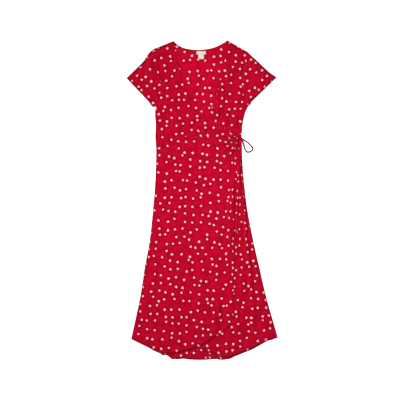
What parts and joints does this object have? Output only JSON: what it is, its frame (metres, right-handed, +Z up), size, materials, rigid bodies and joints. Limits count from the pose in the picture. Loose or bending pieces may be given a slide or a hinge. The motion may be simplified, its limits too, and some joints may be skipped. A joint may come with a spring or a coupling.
{
  "type": "wrap dress",
  "caption": "Short-sleeved midi wrap dress laid flat, front up, with a V neck, a waist seam, a side tie and a flared skirt with a round wrap edge.",
  "frame": {"origin": "on the surface the dress lies on, under the middle of its outline", "axes": "+Z up out of the front, +Y towards the neck, +X towards the wearer's left"},
  "size_m": [0.664, 1.3987, 0.0138],
  "materials": {
    "printed_cloth": "matt crimson viscose crepe with a tossed print of small pale hearts",
    "tie_cloth": "the same crimson cloth as a narrow turned tube",
    "label_tape": "blank cream woven tape"
  },
  "bodies": {
    "root": {"back_bodice": "printed_cloth", "back_skirt": "printed_cloth", "left_front_bodice": "printed_cloth", "left_front_skirt": "printed_cloth", "right_front_bodice": "printed_cloth", "right_front_skirt": "printed_cloth", "right_sleeve": "printed_cloth", "left_sleeve": "printed_cloth", "neck_label": "label_tape", "size_tab": "label_tape", "tie_knot": "tie_cloth", "tie_loop": "tie_cloth", "tie_end": "tie_cloth"}
  },
  "joints": []
}
